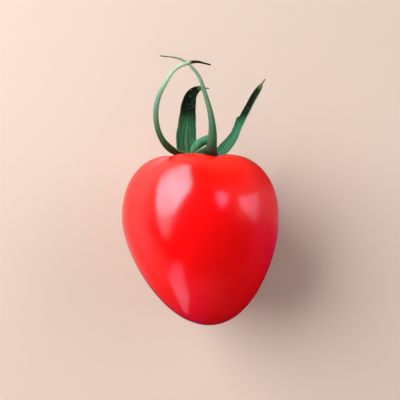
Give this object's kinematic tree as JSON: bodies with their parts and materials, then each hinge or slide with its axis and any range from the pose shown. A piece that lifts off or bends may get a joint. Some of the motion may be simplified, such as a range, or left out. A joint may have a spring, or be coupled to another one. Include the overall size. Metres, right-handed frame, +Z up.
{
  "type": "cherry tomato",
  "caption": "Heart-shaped red cherry tomato with its green calyx, lying on its side on a small flat spot, for food, kitchen and market scenes.",
  "frame": {"origin": "on the flat resting spot under the fruit, straight below its centre of mass", "axes": "+Y towards the stem end and the calyx, +Z up, +X to the right as seen from above with the stem end away from the viewer"},
  "size_m": [0.035, 0.0584, 0.0349],
  "materials": {
    "fruit_skin": "smooth waxy ripe red skin, glossy, slightly paler and orange at the shoulder",
    "calyx_green": "soft hairy green leaf tissue, paler outside, dark inside, with dry brown tips"
  },
  "bodies": {
    "root": {"fruit": "fruit_skin", "calyx": "calyx_green"}
  },
  "joints": []
}
